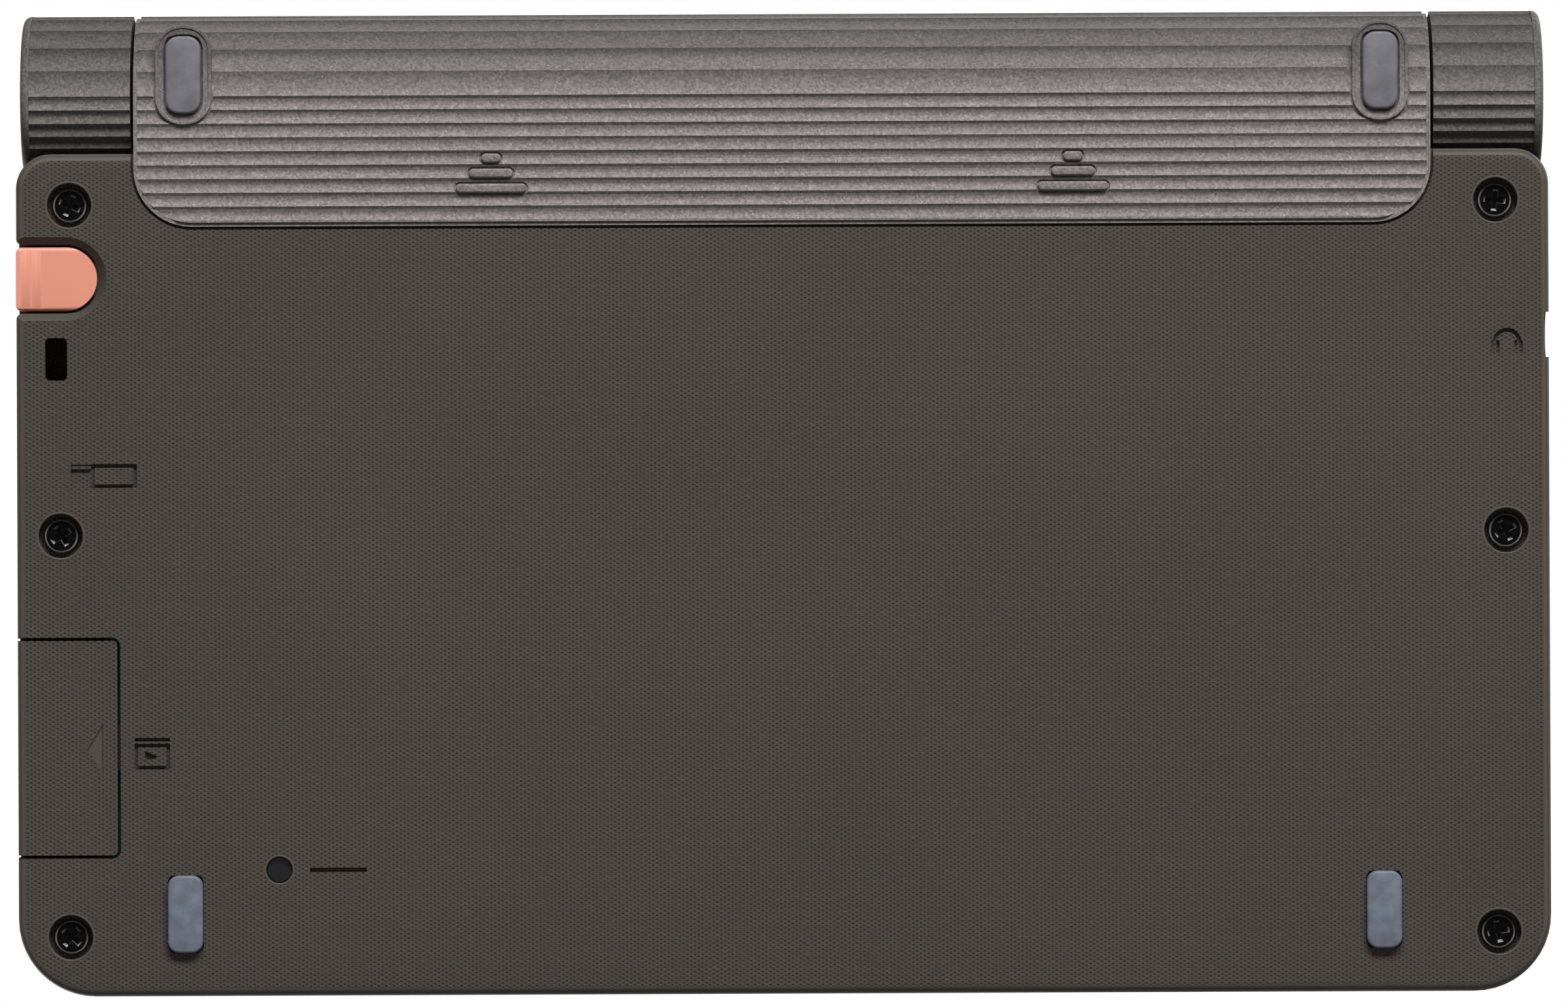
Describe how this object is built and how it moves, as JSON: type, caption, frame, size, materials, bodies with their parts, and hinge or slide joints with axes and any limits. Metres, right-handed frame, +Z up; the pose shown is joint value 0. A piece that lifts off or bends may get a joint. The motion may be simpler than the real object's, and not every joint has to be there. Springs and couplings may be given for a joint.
{
  "type": "electronic dictionary",
  "caption": "Closed clamshell electronic dictionary on rubber feet, with a ribbed hinge tube, a sliding battery cover, a lid with a screen, keys and a stylus.",
  "frame": {"origin": "middle of the closed case in plan, on the plane that the feet stand on", "axes": "+X along the hinge towards the stylus side, +Y from the front edge to the hinge, +Z up from the feet to the lid"},
  "size_m": [0.1588, 0.1018, 0.0179],
  "materials": {
    "case_plastic": "fine pitted moulding",
    "satin_paint": "metallic satin paint",
    "barrel_paint": "metallic satin paint",
    "board": "solder mask",
    "dome_film": "film",
    "cell_can": "printed can, bare",
    "steel": "plated",
    "black_screw": "black zinc",
    "front_foot_rubber": "smooth",
    "rear_foot_rubber": "smooth",
    "black_plastic": "moulded",
    "cast_metal": "sintered",
    "flex_film": "polyimide",
    "grey_plastic": "moulded",
    "stylus_grey": "satin",
    "coral_plastic": "satin moulded",
    "tip_white": "satin",
    "screen_glass": "polished",
    "black_rubber": "soft",
    "key_plastic": "satin"
  },
  "bodies": {
    "base": {"bottom_case": "case_plastic", "keyboard_deck": "case_plastic", "main_board": "board", "key_dome_sheet": "dome_film", "battery_cells": "cell_can", "battery_contact_minus": "steel", "battery_contact_plus": "steel", "case_screws": "black_screw", "board_screws": "steel", "front_feet": "front_foot_rubber", "card_socket": "steel", "usb_socket": "steel", "headphone_jack": "black_plastic", "speaker": "black_plastic", "reset_switch": "black_plastic", "stylus_silo": "black_plastic", "hinge_friction_units": "cast_metal", "hinge_cable": "flex_film"},
    "lid": {"lid_shell": "satin_paint", "lid_bezel": "case_plastic", "display_panel": "steel", "touch_glass": "screen_glass", "lid_bumpers": "black_rubber", "hinge_barrel_left": "barrel_paint", "hinge_barrel_right": "barrel_paint", "hinge_shafts": "steel", "display_cable": "flex_film"},
    "battery_cover": {"battery_cover": "satin_paint", "rear_feet": "rear_foot_rubber"},
    "stylus": {"stylus_barrel": "stylus_grey", "stylus_cap": "coral_plastic", "stylus_tip": "tip_white"},
    "card_door": {"card_door": "case_plastic"},
    "reset_plunger": {"reset_plunger": "grey_plastic"},
    "power_key": {"power_key": "key_plastic"},
    "function_key_1": {"function_key_1": "key_plastic"},
    "function_key_2": {"function_key_2": "key_plastic"},
    "function_key_3": {"function_key_3": "key_plastic"},
    "function_key_4": {"function_key_4": "key_plastic"},
    "function_key_5": {"function_key_5": "key_plastic"},
    "function_key_6": {"function_key_6": "key_plastic"},
    "arrow_up_key": {"arrow_up_key": "key_plastic"},
    "arrow_down_key": {"arrow_down_key": "key_plastic"},
    "arrow_left_key": {"arrow_left_key": "key_plastic"},
    "arrow_right_key": {"arrow_right_key": "key_plastic"},
    "enter_key": {"enter_key": "key_plastic"},
    "back_key": {"back_key": "key_plastic"},
    "page_up_key": {"page_up_key": "key_plastic"},
    "page_down_key": {"page_down_key": "key_plastic"},
    "shift_key": {"shift_key": "key_plastic"},
    "delete_key": {"delete_key": "key_plastic"},
    "sound_key": {"sound_key": "key_plastic"},
    "jump_key": {"jump_key": "key_plastic"},
    "letter_row_top": {"letter_row_top": "key_plastic"},
    "letter_row_middle": {"letter_row_middle": "key_plastic"},
    "letter_row_bottom": {"letter_row_bottom": "key_plastic"}
  },
  "joints": [
    {"name": "lid_hinge", "type": "hinge", "parent": "base", "child": "lid", "pos_m": [0, 0.04225, 0.00925], "axis": [-1, 0, 0], "range_deg": [0, 150]},
    {"name": "battery_cover_slide", "type": "slide", "parent": "base", "child": "battery_cover", "axis": [0, 1, 0], "range_m": [0, 0.022]},
    {"name": "stylus_slide", "type": "slide", "parent": "base", "child": "stylus", "axis": [1, 0, 0], "range_m": [0, 0.1]},
    {"name": "card_door_slide", "type": "slide", "parent": "base", "child": "card_door", "axis": [1, 0, 0], "range_m": [0, 0.006]},
    {"name": "reset_press", "type": "slide", "parent": "base", "child": "reset_plunger", "axis": [0, 0, 1], "range_m": [0, 0.00025], "stiffness_N_per_m": 600},
    {"name": "power_key_press", "type": "slide", "parent": "base", "child": "power_key", "axis": [0, 0, -1], "range_m": [0, 0.0007], "stiffness_N_per_m": 500},
    {"name": "function_key_1_press", "type": "slide", "parent": "base", "child": "function_key_1", "axis": [0, 0, -1], "range_m": [0, 0.0007], "stiffness_N_per_m": 500},
    {"name": "function_key_2_press", "type": "slide", "parent": "base", "child": "function_key_2", "axis": [0, 0, -1], "range_m": [0, 0.0007], "stiffness_N_per_m": 500},
    {"name": "function_key_3_press", "type": "slide", "parent": "base", "child": "function_key_3", "axis": [0, 0, -1], "range_m": [0, 0.0007], "stiffness_N_per_m": 500},
    {"name": "function_key_4_press", "type": "slide", "parent": "base", "child": "function_key_4", "axis": [0, 0, -1], "range_m": [0, 0.0007], "stiffness_N_per_m": 500},
    {"name": "function_key_5_press", "type": "slide", "parent": "base", "child": "function_key_5", "axis": [0, 0, -1], "range_m": [0, 0.0007], "stiffness_N_per_m": 500},
    {"name": "function_key_6_press", "type": "slide", "parent": "base", "child": "function_key_6", "axis": [0, 0, -1], "range_m": [0, 0.0007], "stiffness_N_per_m": 500},
    {"name": "arrow_up_key_press", "type": "slide", "parent": "base", "child": "arrow_up_key", "axis": [0, 0, -1], "range_m": [0, 0.0007], "stiffness_N_per_m": 500},
    {"name": "arrow_down_key_press", "type": "slide", "parent": "base", "child": "arrow_down_key", "axis": [0, 0, -1], "range_m": [0, 0.0007], "stiffness_N_per_m": 500},
    {"name": "arrow_left_key_press", "type": "slide", "parent": "base", "child": "arrow_left_key", "axis": [0, 0, -1], "range_m": [0, 0.0007], "stiffness_N_per_m": 500},
    {"name": "arrow_right_key_press", "type": "slide", "parent": "base", "child": "arrow_right_key", "axis": [0, 0, -1], "range_m": [0, 0.0007], "stiffness_N_per_m": 500},
    {"name": "enter_key_press", "type": "slide", "parent": "base", "child": "enter_key", "axis": [0, 0, -1], "range_m": [0, 0.0007], "stiffness_N_per_m": 500},
    {"name": "back_key_press", "type": "slide", "parent": "base", "child": "back_key", "axis": [0, 0, -1], "range_m": [0, 0.0007], "stiffness_N_per_m": 500},
    {"name": "page_up_key_press", "type": "slide", "parent": "base", "child": "page_up_key", "axis": [0, 0, -1], "range_m": [0, 0.0007], "stiffness_N_per_m": 500},
    {"name": "page_down_key_press", "type": "slide", "parent": "base", "child": "page_down_key", "axis": [0, 0, -1], "range_m": [0, 0.0007], "stiffness_N_per_m": 500},
    {"name": "shift_key_press", "type": "slide", "parent": "base", "child": "shift_key", "axis": [0, 0, -1], "range_m": [0, 0.0007], "stiffness_N_per_m": 500},
    {"name": "delete_key_press", "type": "slide", "parent": "base", "child": "delete_key", "axis": [0, 0, -1], "range_m": [0, 0.0007], "stiffness_N_per_m": 500},
    {"name": "sound_key_press", "type": "slide", "parent": "base", "child": "sound_key", "axis": [0, 0, -1], "range_m": [0, 0.0007], "stiffness_N_per_m": 500},
    {"name": "jump_key_press", "type": "slide", "parent": "base", "child": "jump_key", "axis": [0, 0, -1], "range_m": [0, 0.0007], "stiffness_N_per_m": 500},
    {"name": "letter_row_top_press", "type": "slide", "parent": "base", "child": "letter_row_top", "axis": [0, 0, -1], "range_m": [0, 0.0007], "stiffness_N_per_m": 500},
    {"name": "letter_row_middle_press", "type": "slide", "parent": "base", "child": "letter_row_middle", "axis": [0, 0, -1], "range_m": [0, 0.0007], "stiffness_N_per_m": 500},
    {"name": "letter_row_bottom_press", "type": "slide", "parent": "base", "child": "letter_row_bottom", "axis": [0, 0, -1], "range_m": [0, 0.0007], "stiffness_N_per_m": 500}
  ]
}
